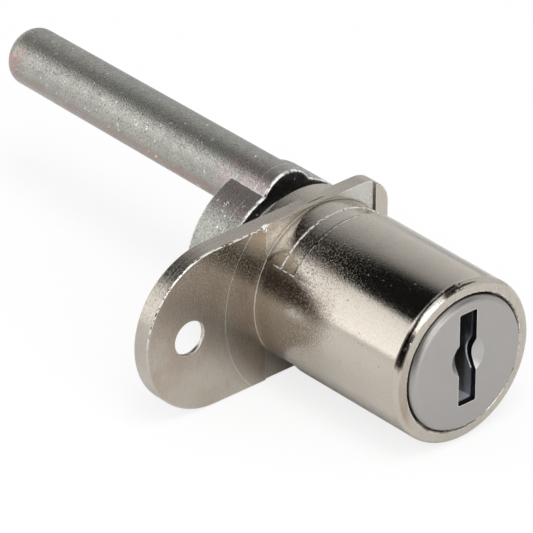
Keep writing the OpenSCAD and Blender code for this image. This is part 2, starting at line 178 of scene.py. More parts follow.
def near(value, target):
    return abs(value - target) < NEAR


# Helpers that make and join pieces

def solid(name, bm):
    """Puts a finished bmesh in the scene, still in millimetres."""
    mesh = bpy.data.meshes.new(name)
    bm.to_mesh(mesh)
    bm.free()
    piece = bpy.data.objects.new(name, mesh)
    bpy.context.scene.collection.objects.link(piece)
    return piece


def combine(piece, operation, shapes):
    """Joins shapes to a piece, or cuts them out of it, one after another."""
    tools = [solid("tool", bm) for bm in shapes]
    for tool in tools:
        step = piece.modifiers.new("step", "BOOLEAN")
        step.operation = operation
        step.solver = "EXACT"
        step.object = tool
    view = bpy.context.evaluated_depsgraph_get()
    mesh = bpy.data.meshes.new_from_object(piece.evaluated_get(view))
    piece.modifiers.clear()
    old, piece.data = piece.data, mesh
    mesh.name = piece.name
    bpy.data.meshes.remove(old)
    for tool in tools:
        bpy.data.objects.remove(tool)


def cutter(name, operation, base, shapes):
    """A cutting shape that is itself made by joining or cutting shapes."""
    piece = solid(name, base)
    combine(piece, operation, shapes)
    bm = bmesh.new()
    bm.from_mesh(piece.data)
    bpy.data.objects.remove(piece)
    return bm


def soften(piece, width, segments):
    """A fine bevel on the crisp edges that a cut has left."""
    edge = piece.modifiers.new("fine edge", "BEVEL")
    edge.width = width * MM
    edge.segments = segments
    edge.limit_method = "ANGLE"
    edge.angle_limit = CUT_ANGLE
    edge.use_clamp_overlap = True
    edge.harden_normals = True


def shade(mesh):
    """Shades a mesh smooth, but keeps a broad face's normals clear of a fine bevel's."""
    mesh.shade_smooth()
    bm = bmesh.new()
    bm.from_mesh(mesh)
    for edge in bm.edges:
        if len(edge.link_faces) == 2:
            angle = edge.calc_face_angle(0)
            small, large = sorted(face.calc_area() for face in edge.link_faces)
            edge.smooth = angle < SMOOTH_ANGLE and not (angle > BEVEL_ANGLE and large > BROAD * small)
    bm.to_mesh(mesh)
    bm.free()


def finish_piece(piece, material, body, node):
    """Brings a piece to metres, shades it and places it on its body."""
    mesh = piece.data
    mesh.transform(Matrix.Scale(MM, 4))
    shade(mesh)
    mesh.materials.clear()
    mesh.materials.append(material)
    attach(piece, body)
    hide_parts(node)
    return piece


SLOT_OF = {part["node"]: part["material_slot"] for part in frame["record"]["subparts"]}


# Housing

def flange_plate():
    """The flange's outline, extruded to its thickness with bevelled rims."""
    bm = bmesh.new()
    corner_x, corner_z = SHORT_X - SHORT_CORNER, FLANGE_HALF - SHORT_CORNER
    arcs = [(LOBE_X, 0, FLANGE_HALF, 90, 270, LOBE_STEPS),
            (corner_x, -corner_z, SHORT_CORNER, 270, 360, CORNER_STEPS),
            (corner_x, corner_z, SHORT_CORNER, 0, 90, CORNER_STEPS)]
    rim = []
    for x, z, radius, first, last, steps in arcs:
        for i in range(steps + 1):
            angle = math.radians(first + (last - first) * i / steps)
            rim.append(bm.verts.new((x + radius * math.cos(angle), 0, z + radius * math.sin(angle))))
    face = bm.faces.new(rim)
    grown = bmesh.ops.extrude_face_region(bm, geom=[face])["geom"]
    bmesh.ops.translate(bm, verts=[g for g in grown if isinstance(g, bmesh.types.BMVert)],
                        vec=(0, FLANGE_T, 0))
    bmesh.ops.recalc_face_normals(bm, faces=bm.faces)
    for y in (0, FLANGE_T):
        round_edges(bm, lambda vx, vy, vz: near(vy, y), *FLANGE_EDGE)
    return bm


def fillet(radius, face_y):
    """Points of the fillet where a round part of this radius meets a face behind it."""
    angles = [math.radians(90 * i / FILLET_STEPS) for i in range(FILLET_STEPS + 1)]
    return [(radius + BASE_FILLET * (1 - math.cos(a)), face_y - BASE_FILLET * (1 - math.sin(a)))
            for a in angles]


def relief_core():
    """What the relief leaves standing round the barrel's root."""
    front, step_front, step_rear = RELIEF_FRONT - PAST, ROOT_FRONT - ROOT_CHAMFER, ROOT_FRONT + ROOT_CHAMFER
    return turned([(0, front), (RELIEF_R, front), (RELIEF_R, step_front), (ROOT_R, step_rear)]
                  + fillet(ROOT_R, RELIEF_DEPTH) + [(ROOT_R + BASE_FILLET, PAST), (0, PAST)])


def base_fillet():
    """The fillet where the barrel's full diameter meets the flange."""
    inner, outer = BARREL_R - FILLET_INSIDE, BARREL_R + BASE_FILLET
    return turned([(inner, -BASE_FILLET)] + fillet(BARREL_R, 0)
                  + [(outer, FILLET_REAR), (inner, FILLET_REAR)], closed=True)


def relief_cutter(reach):
    """The relief: a slab with sloped sides behind the flange's face, round the core."""
    slab = block((-RELIEF_X, RELIEF_FRONT, -reach), (RELIEF_X, RELIEF_DEPTH, reach))
    for vert in slab.verts:
        if near(vert.co.y, RELIEF_DEPTH):
            vert.co.x -= math.copysign(RELIEF_SLOPE, vert.co.x)
    bmesh.ops.bisect_plane(slab, geom=slab.verts[:] + slab.edges[:] + slab.faces[:],
                           plane_co=(0, 0, 0), plane_no=AXIS)
    for vert in slab.verts:
        if near(vert.co.y, 0):
            vert.co.x = math.copysign(RELIEF_X, vert.co.x)
    return cutter("relief", "DIFFERENCE", slab, [relief_core()])


def make_housing():
    """Barrel, flange and boss, with the relief, the screw hole and all the bores."""
    barrel, boss = rod(BARREL_R, BARREL_FRONT, PAST), rod(BOSS_R, PAST, BOSS_REAR)
    round_rim(barrel, BARREL_FRONT, BARREL_R, BARREL_EDGE)
    round_rim(boss, BOSS_REAR, BOSS_R, BOSS_EDGE)
    housing = solid("housing_casting", flange_plate())
    combine(housing, "UNION", [barrel, base_fillet(), boss])

    reach, behind_boss = 2 * FLANGE_HALF, BOSS_REAR + PAST
    short_end = block((SHORT_X, -PAST, -TRIM_HALF), (SHORT_X + TRIM_W, TRIM_DEPTH, TRIM_HALF))
    mouth_edge = MOUTH_R + MOUTH_CHAMFER
    mouth = turned([(0, BARREL_FRONT - PAST), (mouth_edge, BARREL_FRONT - PAST), (mouth_edge, BARREL_FRONT),
                    (MOUTH_R, BARREL_FRONT + MOUTH_CHAMFER), (MOUTH_R, MOUTH_FLOOR), (0, MOUTH_FLOOR)])
    scribe = turned([(SCRIBE_R - SCRIBE_HALF_W, SCRIBE_START), (SCRIBE_R + SCRIBE_HALF_W, SCRIBE_START),
                     (SCRIBE_R, SCRIBE_DEPTH)], closed=True)
    hole_edge, behind_flange = HOLE_R + HOLE_CHAMFER, FLANGE_T + PAST
    hole = turned([(0, -PAST), (hole_edge, -PAST), (hole_edge, 0), (HOLE_R, HOLE_CHAMFER),
                   (HOLE_R, HOLE_LAND), (SINK_R, FLANGE_T), (SINK_R, behind_flange), (0, behind_flange)],
                  steps=SMALL_STEPS, x=HOLE_X)
    combine(housing, "DIFFERENCE", [
        relief_cutter(reach), short_end, scribe, hole, mouth,
        rod(PLUG_BORE_R, MOUTH_FLOOR - PAST, PLUG_BORE_END),
        rod(HUB_BORE_R, 0, behind_boss),
        sector(LUG_INNER - GROOVE_GAP, LUG_OUTER + GROOVE_GAP, STOP_FLOOR, behind_boss,
               GROOVE_START, GROOVE_END)])
    # On their own: cut with the bores they leave a stray disc in the hub bore
    grooves = block((-LOCKING_HALF_W, MOUTH_FLOOR - 2 * PAST, -reach), (LOCKING_HALF_W, 0, reach))
    combine(housing, "DIFFERENCE", [cutter(
        "locking_grooves", "INTERSECT", rod(LOCKING_R, MOUTH_FLOOR - PAST, LOCKING_REAR), [grooves])])
    return housing


# Face cap

def slot_cutter():
    """A prism of the key slot's outline with rounded corners."""
    half_w, half_h = SLOT_W / 2, SLOT_H / 2
    bm = block((-half_w, CAP_FRONT - PAST, SLOT_Z - half_h), (half_w, CAP_FRONT + 3 * PAST, SLOT_Z + half_h))
    corners = [e for e in bm.edges if near(e.verts[0].co.x, e.verts[1].co.x)
               and near(e.verts[0].co.z, e.verts[1].co.z)]
    radius, steps = SLOT_CORNER
    bmesh.ops.bevel(bm, geom=corners, offset=radius, offset_type="OFFSET", affect="EDGES",
                    segments=steps, profile=0.5, material=-1)
    return bm


def dimple(back):
    """The cone of the dimple, set back by the sheet's thickness for its rear."""
    start = CAP_FRONT + back
    slope = (DIMPLE_R - DIMPLE_FLOOR_R) / DIMPLE_DEPTH
    lead = 0.0 if back else LEAD
    return turned([(0, start - lead), (DIMPLE_R + slope * lead, start - lead),
                   (DIMPLE_FLOOR_R, start + DIMPLE_DEPTH), (0, start + DIMPLE_DEPTH)],
                  steps=SMALL_STEPS, z=SLOT_Z)


def make_face_cap():
    """The cupped sheet with its dimple and key slot."""
    sheet = turned([(0, CAP_FRONT), (CAP_R, CAP_FRONT), (CAP_R, CAP_SKIRT_END),
                    (CAP_SKIRT_R, CAP_SKIRT_END), (CAP_SKIRT_R, CAP_FRONT + CAP_T), (0, CAP_FRONT + CAP_T)])
    round_rim(sheet, CAP_FRONT, CAP_R, CAP_EDGE)
    cap = solid("key_face_cap", sheet)
    combine(cap, "UNION", [dimple(CAP_T)])
    combine(cap, "DIFFERENCE", [dimple(0), slot_cutter()])
    return cap


# Cam, screw and washer

def cam_disc(front_r, rear_r, centre_z=0.0):
    """A disc as thick as the cam, with a rounded front edge."""
    disc = turned([(0, CAM_FRONT), (front_r, CAM_FRONT), (rear_r, CAM_REAR), (0, CAM_REAR)], z=centre_z)
    round_rim(disc, CAM_FRONT, front_r, CAM_EDGE, centre_z)
    return disc


def make_drive_cam():
    """Disc, lobe and tapered pin behind a shoulder, a hub and the stop lug."""
    pin = turned([(0, CAM_FRONT + PAST), (PIN_ROOT_R, CAM_FRONT + PAST), (PIN_ROOT_R, CAM_REAR),
                  (PIN_R, PIN_END), (0, PIN_END)], z=PIN_Z)
    round_rim(pin, PIN_END, PIN_R, PIN_TIP, PIN_Z)
    disc = cam_disc(CAM_R, CAM_R)
    round_rim(disc, CAM_REAR, CAM_R, CAM_REAR_EDGE)
    cam = solid("cam_and_drive_pin", disc)
    first = 270 - LUG_HALF_ANGLE
    combine(cam, "UNION", [
        cam_disc(LOBE_R, PIN_ROOT_R, PIN_Z), pin,
        rod(SHOULDER_R, SHOULDER_FRONT, CAM_FRONT + JOINED),
        rod(HUB_R, HUB_FRONT, CAM_FRONT + JOINED),
        sector(LUG_INNER, LUG_OUTER, LUG_FRONT, CAM_FRONT + LUG_JOINED, first, first + 2 * LUG_HALF_ANGLE)])
    flats = block((-SHANK_HALF_FLAT, -CAM_R, -CAM_R), (SHANK_HALF_FLAT, 2 * CAM_R, CAM_R))
    shank_bore = cutter("shank_bore", "INTERSECT",
                        rod(SHANK_R, HUB_FRONT - PAST, SHANK_REAR, steps=SMALL_STEPS), [flats])
    combine(cam, "DIFFERENCE", [
        shank_bore, rod(SCREW_CLEAR_R, HUB_FRONT, CAM_REAR + PAST, steps=SMALL_STEPS)])
    return cam


def make_cam_screw():
    """A plain shank and a domed head with a cross recess."""
    top = WASHER_REAR + HEAD_H
    head = turned([(0, SCREW_TIP), (SCREW_R, SCREW_TIP), (SCREW_R, WASHER_REAR), (HEAD_R, WASHER_REAR),
                   (HEAD_R, top), (0, top)], steps=SMALL_STEPS)
    round_rim(head, top, HEAD_R, HEAD_EDGE)
    screw = solid("cam_fixing_screw", head)
    arms = []
    for length, width in ((RECESS_L, RECESS_W), (RECESS_W, RECESS_L)):
        arms.append(block((-length / 2, top - RECESS_DEPTH, -width / 2),
                          (length / 2, top + PAST, width / 2)))
    combine(screw, "DIFFERENCE", arms)
    return screw


def make_lock_washer():
    """A ring with a slanting split."""
    ring = turned([(WASHER_BORE_R, CAM_REAR), (HEAD_R, CAM_REAR), (HEAD_R, WASHER_REAR),
                   (WASHER_BORE_R, WASHER_REAR)], closed=True, steps=SMALL_STEPS)
    washer = solid("spring_lock_washer", ring)
    split = block((-WASHER_SPLIT / 2, CAM_REAR - PAST, -1.5 * HEAD_R),
                  (WASHER_SPLIT / 2, WASHER_REAR + PAST, 0))
    bmesh.ops.rotate(split, verts=split.verts, cent=(0, 0, -HEAD_R),
                     matrix=Matrix.Rotation(-math.radians(SPLIT_TILT), 3, AXIS))
    combine(washer, "DIFFERENCE", [split])
    return washer


# Shader nodes

FLOAT, VECTOR = "NodeSocketFloat", "NodeSocketVector"
GIVES_VALUE = ("LENGTH", "DISTANCE", "DOT_PRODUCT")


def rgb(red, green, blue):
    return (red, green, blue, 1.0)


class Board:
    """Places and links nodes in one material, world or group."""

    def __init__(self, tree):
        self.tree = tree

    def add(self, kind, inputs=None, **settings):
        node = self.tree.nodes.new(kind)
        for name, value in settings.items():
            setattr(node, name, value)
        for name, value in (inputs or {}).items():
            self.feed(node, name, value)
        return node

    def feed(self, node, name, value):
        self.fill(node.inputs[name], value)

    def fill(self, socket, value):
        """Links a socket to another one, or gives it a plain value."""
        if isinstance(value, bpy.types.NodeSocket):
            self.tree.links.new(value, socket)
        else:
            socket.default_value = value

    def maths(self, operation, a, b=0.0, clamp=False):
        return self.add("ShaderNodeMath", {0: a, 1: b}, operation=operation, use_clamp=clamp).outputs[0]

    def chain(self, operation, values):
        result = values[0]
        for value in values[1:]:
            result = self.maths(operation, result, value)
        return result

    def times(self, *values):
        return self.chain("MULTIPLY", values)

    def total(self, *values):
        return self.chain("ADD", values)

    def most(self, *values):
        return self.chain("MAXIMUM", values)

    def less(self, value, whole=1.0):
        """What a value leaves of the whole."""
        return self.maths("SUBTRACT", whole, value)

    def vector(self, operation, a, b=(0.0, 0.0, 0.0)):
        node = self.add("ShaderNodeVectorMath", {0: a, 1: b}, operation=operation)
        return node.outputs["Value" if operation in GIVES_VALUE else "Vector"]

    def split(self, vector):
        return self.add("ShaderNodeSeparateXYZ", {0: vector}).outputs

    def spread(self, mask, low, high):
        """Lets a value run between two others by a mask."""
        return self.add("ShaderNodeMapRange", {"Value": mask, "To Min": low, "To Max": high}).outputs[0]

    def ramp(self, value, none, full):
        """A soft step of a value, from nothing at one point to one at another."""
        return self.add("ShaderNodeMapRange", {"Value": value, "From Min": none, "From Max": full},
                        interpolation_type="SMOOTHSTEP").outputs[0]

    def step(self, value, none, full):
        """A ramp over a length whose ends are given in millimetres."""
        return self.ramp(value, none * MM, full * MM)

    def strip(self, value, none, full, fade, gone):
        """A mask that rises between two stations and falls between the next two."""
        return self.times(self.step(value, none, full), self.step(value, gone, fade))

    def blend(self, factor, a, b):
        node = self.add("ShaderNodeMix", data_type="RGBA", clamp_factor=True)
        for name, value in (("Factor", factor), ("A", a), ("B", b)):
            self.fill([s for s in node.inputs if s.name == name and s.enabled][0], value)
        return [s for s in node.outputs if s.enabled][0]

    def use(self, group, **inputs):
        node = self.add("ShaderNodeGroup", node_tree=group)
        for name, value in inputs.items():
            self.feed(node, name, value)
        return node.outputs[0]


def new_group(name, inputs, output):
    """A shader group with named sockets: (name, kind, default) in, one value out."""
    tree = bpy.data.node_groups.new(name, "ShaderNodeTree")
    for label, kind, default in inputs:
        socket = tree.interface.new_socket(label, in_out="INPUT", socket_type=kind)
        socket.default_value = default
    tree.interface.new_socket(output, in_out="OUTPUT", socket_type=FLOAT)
    board = Board(tree)
    return board, board.add("NodeGroupInput").outputs, board.add("NodeGroupOutput")


def speckle_group():
    """Patches or specks: a noise cut to a soft-edged mask."""
    board, given, result = new_group(
        "speckle", [("Vector", VECTOR, (0, 0, 0)), ("Scale", FLOAT, 1000), ("Detail", FLOAT, 4),
                    ("Low", FLOAT, 0.5), ("High", FLOAT, 0.7)], "Mask")
    noise = board.add("ShaderNodeTexNoise", {"Vector": given["Vector"], "Scale": given["Scale"],
                                             "Detail": given["Detail"], "Roughness": 0.6})
    board.feed(result, "Mask", board.ramp(noise.outputs["Fac"], given["Low"], given["High"]))
    return board.tree


def grain_group():
    """Drawn-out grain: a noise stretched along the directions that get a small scale."""
    board, given, result = new_group(
        "drawn_grain", [("Vector", VECTOR, (0, 0, 0)), ("Stretch", VECTOR, (1, 1, 1)),
                        ("Scale", FLOAT, 1000)], "Height")
    drawn = board.vector("MULTIPLY", given["Vector"], given["Stretch"])
    noise = board.add("ShaderNodeTexNoise", {"Vector": drawn, "Scale": given["Scale"],
                                             "Detail": 5.0, "Roughness": 0.65})
    board.feed(result, "Height", noise.outputs["Fac"])
    return board.tree


def rubbed_edge_highlight_group():
    """A mask for rubbed edges and their painted highlights, from how far a bevelled normal leans from the
    true one.
    """
    board, given, result = new_group(
        "rubbed_edge_highlight", [("Radius", FLOAT, 0.0002), ("Gain", FLOAT, 6.0), ("Breakup", FLOAT, 0.5)], "Mask")
    bevel = board.add("ShaderNodeBevel", {"Radius": given["Radius"]}, samples=4)
    true = board.add("ShaderNodeNewGeometry")
    bent = board.less(board.vector("DOT_PRODUCT", bevel.outputs[0], true.outputs["Normal"]))
    strong = board.times(bent, given["Gain"])
    board.feed(result, "Mask", board.maths("MULTIPLY", strong, given["Breakup"], clamp=True))
    return board.tree


SPECKLE, GRAIN, RUBBED_EDGE_HIGHLIGHT = speckle_group(), grain_group(), rubbed_edge_highlight_group()


class Surface(Board):
    """One metal in the making: its colour so far, and where each point is and faces."""

    def __init__(self, name, base):
        self.material = bpy.data.materials.new(name)
        self.material.use_nodes = True
        super().__init__(self.material.node_tree)
        self.shader = self.tree.nodes["Principled BSDF"]
        self.shader.inputs["Metallic"].default_value = 1.0
        source = self.add("ShaderNodeTexCoord").outputs
        self.place = source["Object"]
        self.at, self.lean = self.split(self.place), self.split(source["Normal"])
        self.end_on = self.maths("ABSOLUTE", self.lean["Y"])
        self.level = self.vector("MULTIPLY", self.place, (1.0, 0.0, 1.0))
        self.radius = self.vector("LENGTH", self.level)
        self.colour = rgb(*base)
        self.noises = {}

    def noise(self, group, names, values):
        """A noise over the object, placed once however often it is asked for."""
        key = (group.name, values)
        if key not in self.noises:
            self.noises[key] = self.use(group, Vector=self.place, **dict(zip(names, values)))
        return self.noises[key]

    def speckle(self, *values):
        return self.noise(SPECKLE, ("Scale", "Detail", "Low", "High"), values)

    def grain(self, *values):
        return self.noise(GRAIN, ("Stretch", "Scale"), values)

    # The mask for rubbed edges and their painted highlights.
    def edge_mask(self, radius, gain, breakup):
        return self.use(RUBBED_EDGE_HIGHLIGHT, Radius=radius * MM, Gain=gain, Breakup=breakup)

    def distance(self, x, y, z):
        return self.vector("DISTANCE", self.place, (x * MM, y * MM, z * MM))

    def towards(self, degrees, edge, core):
        """One on the side of the axis at this angle from +X towards +Z, out to core degrees
        from it, and nothing from edge degrees on."""
        angle = math.radians(degrees)
        along = self.vector("DOT_PRODUCT", self.place, (math.cos(angle), 0.0, math.sin(angle)))
        return self.ramp(self.maths("DIVIDE", along, self.radius), math.cos(math.radians(edge)),
                         math.cos(math.radians(core)))

    def lay(self, colour, mask, strength=1.0):
        """Blends a colour over the one so far, where a mask says."""
        over = rgb(*colour) if isinstance(colour, tuple) else colour
        self.colour = self.blend(self.times(mask, strength), self.colour, over)

    def emboss(self, height, depth, strength, below=None):
        bump = self.add("ShaderNodeBump", {"Strength": strength, "Distance": depth * MM, "Height": height})
        if below:
            self.feed(bump, "Normal", below)
        self.feed(self.shader, "Normal", bump.outputs[0])
        return bump.outputs[0]

    def finish(self, smoothest, roughest, mask, bare=None):
        """Feeds the colour, a roughness between two values, and what isn't metal."""
        self.feed(self.shader, "Base Color", self.colour)
        self.feed(self.shader, "Roughness", self.spread(mask, smoothest, roughest))
        if bare:
            self.feed(self.shader, "Metallic", self.less(bare))
        return self.material


# Nickel plate. A noise mask has its scale, its detail, and the noise where it starts and is
# full; a grain has its stretch along X, Y and Z, and its scale. Colours are linear, and the
# stations and radii that place a mark are millimetres in the CAD frame.

TARNISH, BROWN_CLOUDS = (190.0, 4.0, 0.45, 0.75), (120.0, 5.0, 0.40, 0.62)
PITS, CHALK, FLECKS = (2600.0, 3.0, 0.68, 0.76), (6500.0, 3.0, 0.3, 0.7), (4200.0, 5.0, 0.53, 0.64)
RAGGED = (1100.0, 4.0, 0.37, 0.43)
DASHES, DASH_STRETCH = {"Scale": 4200.0, "Detail": 3.0, "Low": 0.43, "High": 0.49}, (0.45, 1.0, 1.0)
BRISTLE, EDGE_WAVES = ((1.0, 0.6, 1.0), 6500.0), ((1.0, 1.0, 1.0), 900.0)
FACE_LINES, RIM_LINES = ((1.0, 1.0, 0.06), 7500.0), ((0.03, 1.0, 0.03), 4200.0)

NICKEL, NICKEL_TARNISHED, NICKEL_DULL = (0.53, 0.49, 0.43), (0.42, 0.37, 0.315), (0.20, 0.18, 0.15)
REFLECTED_BROWN, LINE, PIT = (0.37, 0.28, 0.215), (0.24, 0.215, 0.185), (0.16, 0.13, 0.10)
RELIEF_PALE, ROOT_SHADE, RELIEF_CORNER_SHADE = (0.56, 0.552, 0.52), (0.17, 0.13, 0.10), (0.10, 0.075, 0.055)
REFLECTED_BARREL, DARK_REFLECTION = (0.25, 0.16, 0.095), (0.17, 0.115, 0.075)
REFLECTED_BLACK, HIGHLIGHT_WHITE = (0.03, 0.021, 0.017), (0.90, 0.87, 0.82)
SCORED_HIGHLIGHT, DASH_REFLECTED_DARK, DASH_HIGHLIGHT = (0.93, 0.90, 0.85), (0.09, 0.07, 0.055), (0.97, 0.96, 0.94)

# Painted dark reflections on the barrel: angle, half width to the edge and core, stations, strength
DARK_REFLECTION_BANDS = ((122, 13, 4, -13.0, -10.0, 0.5), (157, 11, 3, -12.5, -8.5, 0.55), (194, 26, 10, -15.0, -7.0, 0.28))
# Painted dark reflections and painted highlight on the barrel's front edge: angle, half width to the edge and
# core
EDGE_REFLECTED_DARK, EDGE_HIGHLIGHT = ((151, 15, 10), (99, 9, 6)), (119, 12, 8)
BURR_X, BURR_Z = -RELIEF_X, FLANGE_HALF


def tones_and_painted_light_nickel(s, on_face, on_rim):
    """The plate's tones, the lines drawn in it, painted reflections on the flange's face, a relief face that
    pales towards its top, and painted shade at the barrel's root and in the relief's front corner.
    """
    x, y, z = s.at["X"], s.at["Y"], s.at["Z"]
    s.lay(NICKEL_TARNISHED, s.speckle(*TARNISH), 0.35)
    s.lay(NICKEL_DULL, s.speckle(*CHALK), 0.16)
    # Brown clouds on the flange's lobe face: painted reflection of the surroundings.
    s.lay(REFLECTED_BROWN, s.times(s.speckle(*BROWN_CLOUDS), on_face, s.step(x, -7.2, -8.5)), 0.5)
    s.lay(LINE, s.times(s.grain(*RIM_LINES), on_rim), 0.45)
    s.lay(LINE, s.times(s.ramp(s.grain(*FACE_LINES), 0.5, 0.66), on_face), 0.3)
    s.lay(PIT, s.speckle(*PITS), 0.5)
    s.lay(PIT, s.speckle(*FLECKS), 0.09)

    # The relief's face, paler towards its top.
    relief_face = s.times(s.strip(y, 0.2, 0.26, 0.4, 0.5), on_face, s.step(s.radius, 9.4, 9.6))
    s.lay(RELIEF_PALE, s.times(relief_face, s.step(z, -2.0, 2.0)), 0.8)
    # Painted shade at the barrel's root, and where the relief's floor meets the barrel's step.
    s.lay(ROOT_SHADE, s.times(s.step(s.radius, 9.47, 9.44), s.strip(y, -0.3, -0.1, 0.4, 0.5)), 0.3)
    relief_end = s.times(s.step(s.radius, 9.42, 9.36), s.strip(y, -5.0, -4.7, -4.2, -3.6))
    s.lay(RELIEF_CORNER_SHADE, s.times(relief_end, s.ramp(s.grain(*BRISTLE), 0.3, 0.6)))
    # Painted reflection of the barrel on the flange's face beside it.
    s.lay(REFLECTED_BARREL, s.times(s.step(s.radius, 14.5, 11.5), on_face, s.step(x, -7.0, -8.5)), 0.25)


def paint_reflections_nickel(s):
    """Painted dark reflections on the barrel, and the painted dark reflections and painted highlight on its
    front edge.
    """
    y = s.at["Y"]
    on_side = s.times(s.step(s.radius, 9.6, 9.55), s.step(y, -0.5, -1.0))
    bristly = s.total(s.ramp(s.grain(*BRISTLE), 0.40, 0.60), 0.25)
    # Painted dark reflections on the barrel's side.
    for degrees, edge, core, none, full, strength in DARK_REFLECTION_BANDS:
        here = s.times(s.towards(degrees, edge, core), s.step(y, none, full))
        s.lay(DARK_REFLECTION, s.times(here, bristly, on_side), strength)
    # Painted dark reflections and a painted highlight on the barrel's rounded front edge.
    on_edge = s.times(s.step(y, -21.5, -21.7), s.step(s.radius, 8.6, 8.8), s.ramp(s.end_on, 0.93, 0.85))
    dark = s.most(*[s.towards(*where) for where in EDGE_REFLECTED_DARK])
    s.lay(REFLECTED_BLACK, s.times(dark, s.speckle(*RAGGED), on_edge), 0.93)
    s.lay(HIGHLIGHT_WHITE, s.times(s.towards(*EDGE_HIGHLIGHT), on_edge), 0.6)


def rub_and_highlight_nickel(s):
    """Scored and burred edges with a painted highlight, broken into dashes of painted highlight and painted
    dark reflection. Gives what is bare.
    """
    y = s.at["Y"]
    dashes = s.use(SPECKLE, Vector=s.vector("MULTIPLY", s.place, DASH_STRETCH), **DASHES)
    rubbed_and_highlit = s.edge_mask(0.18, 9.0, 1.0)
    on_flange = s.strip(y, -1.4, -1.0, 2.6, 3.0)
    at_root = s.times(s.step(s.radius, 10.1, 9.8), s.strip(y, -1.2, -0.9, 0.9, 1.2))
    # The flange's rubbed edges, with a painted highlight.
    s.lay(SCORED_HIGHLIGHT, s.times(rubbed_and_highlit, on_flange, s.less(at_root)), 0.7)
    burr = s.times(s.step(s.distance(BURR_X, 0, BURR_Z), 0.8, 0.4), dashes)
    # A painted highlight along the top of the flange's front edge.
    upper_lip_highlight = s.times(s.strip(y, -0.02, 0.01, 0.16, 0.22), s.step(s.radius, 10.2, 10.5),
                        s.ramp(s.end_on, 0.985, 0.93), s.step(s.distance(HOLE_X, 0, 0), 2.4, 2.8),
                        s.ramp(s.lean["Z"], -0.05, 0.35))
    # Rubbed edges and the burr, in dashes of painted highlight and painted dark reflection.
    rubbed_and_highlit = s.most(s.times(rubbed_and_highlit, s.less(on_flange)), burr, s.times(upper_lip_highlight, 0.7))
    s.lay(s.blend(dashes, rgb(*DASH_REFLECTED_DARK), rgb(*DASH_HIGHLIGHT)), rubbed_and_highlit, 0.9)
    return s.times(rubbed_and_highlit, dashes, 0.7)


def nickel_material():
    """Semi-bright nickel over a casting: bristly skin, drawn faces and rims, rubbed edges with painted
    highlights, and painted reflections and shade.
    """
    s = Surface("nickel_plate_finish", NICKEL)
    y = s.at["Y"]
    on_face = s.ramp(s.end_on, 0.75, 0.95)
    on_rim = s.times(s.step(y, -0.02, 0.04), s.less(on_face))
    tones_and_painted_light_nickel(s, on_face, on_rim)
    paint_reflections_nickel(s)
    bare = rub_and_highlight_nickel(s)

    rough_root = s.spread(s.step(y, -15.0, -6.0), 0.3, 0.8)
    front_edge = s.times(s.step(y, -21.4, -21.8), s.less(on_face), 3.0)
    height = s.total(s.times(s.grain(*BRISTLE), s.less(s.times(on_face, 0.3), rough_root)),
                     s.times(s.grain(*FACE_LINES), on_face, 0.8), s.times(s.grain(*RIM_LINES), on_rim),
                     s.times(s.grain(*EDGE_WAVES), front_edge))
    skin = s.emboss(height, 0.02, 1.0)
    marks = s.total(s.speckle(*PITS), s.times(s.speckle(*FLECKS), s.maths("SUBTRACT", rough_root, 0.2)))
    s.emboss(s.less(marks), 0.02, 0.6, below=skin)
    return s.finish(0.04, 0.11, s.speckle(*CHALK), bare)


# Satin steel

CLOUD, SATIN_BREAKUP = (260.0, 4.0, 0.3, 0.8), (1200.0, 3.0, 0.2, 0.5)
SATIN_GRAIN = ((1.0, 1.0, 0.35), 9000.0)
SATIN, SATIN_CLOUDY, SATIN_RUBBED_HIGHLIGHT = (0.385, 0.37, 0.355), (0.34, 0.33, 0.32), (0.82, 0.81, 0.79)
SLOT_SIDE_DARK, DIMPLE_HIGHLIGHT = (0.05, 0.052, 0.06), (0.60, 0.60, 0.59)


def satin_material():
    """Satin stainless sheet with a very fine even grain, rubbed edges with a painted highlight,
    darker on the slot's sides, and a painted highlight in the right half of the dimple."""
    s = Surface("satin_steel_finish", SATIN)
    grain = s.grain(*SATIN_GRAIN)
    s.lay(SATIN_CLOUDY, s.speckle(*CLOUD), 0.35)
    # Rubbed edges with a painted highlight.
    s.lay(SATIN_RUBBED_HIGHLIGHT, s.edge_mask(0.18, 9.0, s.speckle(*SATIN_BREAKUP)))
    # Darker on the slot's sides.
    slot_sides = s.times(s.ramp(s.end_on, 0.45, 0.2), s.step(s.radius, 6.9, 6.6))
    s.lay(SLOT_SIDE_DARK, slot_sides)
    # A painted highlight in the right half of the dimple.
    from_dimple = s.vector("DISTANCE", s.level, (0.0, 0.0, SLOT_Z * MM))
    dimple_highlight = s.times(s.step(from_dimple, 2.3, 2.1), s.step(s.at["X"], 0.6, 1.4), s.less(slot_sides))
    s.lay(DIMPLE_HIGHLIGHT, dimple_highlight, 0.4)
    s.emboss(grain, 0.006, 0.35)
    return s.finish(0.36, 0.46, grain)


# Zinc plate

CRYSTAL, SPECKS, MOTTLE = (5600.0, 3.0, 0.3, 0.7), (3300.0, 5.0, 0.54, 0.68), (500.0, 5.0, 0.35, 0.7)
BLOOM, TINT, PATCHES = (230.0, 4.0, 0.47, 0.64), (150.0, 2.0, 0.34, 0.46), (700.0, 4.0, 0.36, 0.60)
NICKS, SCRATCHES = (1300.0, 2.0, 0.68, 0.71), ((1.0, 0.04, 1.0), 2600.0)
ZINC_BREAKUP, LINE_BREAKUP = (1800.0, 4.0, 0.3, 0.6), (260.0, 3.0, 0.48, 0.56)

